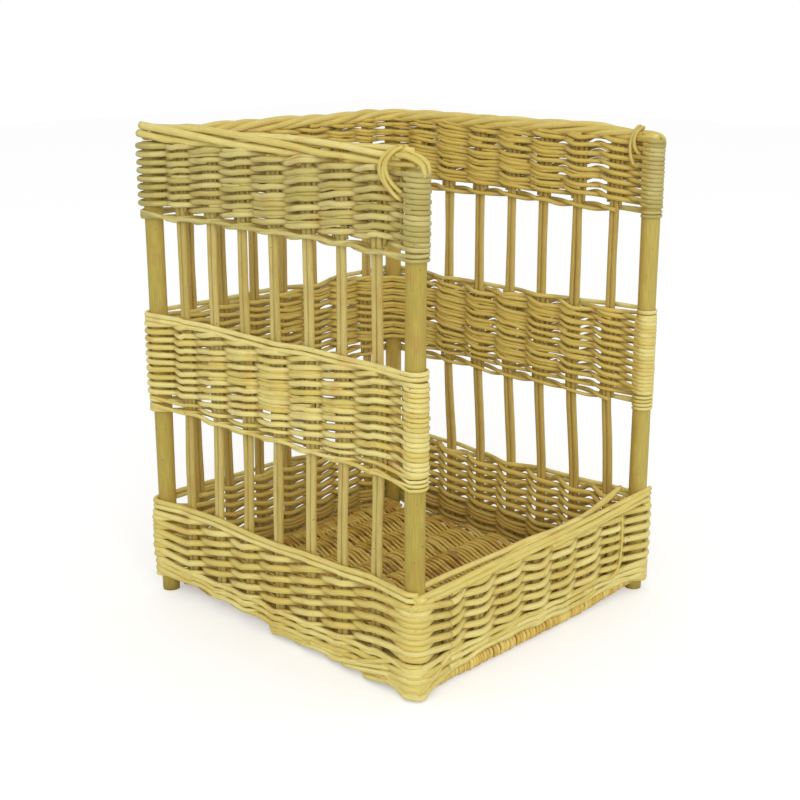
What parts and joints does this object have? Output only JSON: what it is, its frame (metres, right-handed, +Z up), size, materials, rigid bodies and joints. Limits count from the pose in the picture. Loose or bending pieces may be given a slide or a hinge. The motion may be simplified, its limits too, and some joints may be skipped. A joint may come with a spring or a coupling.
{
  "type": "open-front wicker display basket",
  "caption": "Square wicker basket with an open front: woven bands round corner posts, gaps of bare stakes between the bands, a woven base and rod borders tied at the front posts.",
  "frame": {"origin": "on the ground under the middle of the basket", "axes": "+Z up, -Y towards the open front, +X to the right of someone who faces the open front"},
  "size_m": [0.4, 0.415, 0.5336],
  "materials": {
    "post": "peeled round willow post, smooth, satin",
    "stake": "peeled willow stakes, smooth, satin",
    "weave": "woven peeled willow rods, straw yellow with ochre streaks",
    "border": "thick peeled willow rods, satin",
    "base": "woven peeled willow, ochre, stained along the sticks",
    "tie": "thin peeled willow"
  },
  "bodies": {
    "root": {"back_stake_pair_1": "stake", "back_stake_pair_2": "stake", "back_stake_pair_3": "stake", "back_stake_pair_4": "stake", "back_stake_pair_5": "stake", "back_stake_pair_6": "stake", "back_stake_pair_7": "stake", "base_stick_1": "base", "base_stick_2": "base", "base_stick_3": "base", "base_stick_4": "base", "base_stick_5": "base", "base_stick_6": "base", "base_stick_7": "base", "base_stick_8": "base", "base_stick_9": "base", "base_weave": "base", "bottom_weave_back": "weave", "bottom_weave_front": "weave", "bottom_weave_left": "weave", "bottom_weave_right": "weave", "corner_post_back_left": "post", "corner_post_back_right": "post", "corner_post_front_left": "post", "corner_post_front_right": "post", "front_border": "border", "front_stake_pair_1": "stake", "front_stake_pair_2": "stake", "front_stake_pair_3": "stake", "front_stake_pair_4": "stake", "front_stake_pair_5": "stake", "front_stake_pair_6": "stake", "front_stake_pair_7": "stake", "left_border_tie": "tie", "left_stake_pair_1": "stake", "left_stake_pair_2": "stake", "left_stake_pair_3": "stake", "left_stake_pair_4": "stake", "left_stake_pair_5": "stake", "left_stake_pair_6": "stake", "left_stake_pair_7": "stake", "middle_weave_back": "weave", "middle_weave_left": "weave", "middle_weave_right": "weave", "right_border_tie": "tie", "right_stake_pair_1": "stake", "right_stake_pair_2": "stake", "right_stake_pair_3": "stake", "right_stake_pair_4": "stake", "right_stake_pair_5": "stake", "right_stake_pair_6": "stake", "right_stake_pair_7": "stake", "top_border_back": "border", "top_border_left": "border", "top_border_right": "border", "top_weave_back": "weave", "top_weave_left": "weave", "top_weave_right": "weave"}
  },
  "joints": []
}
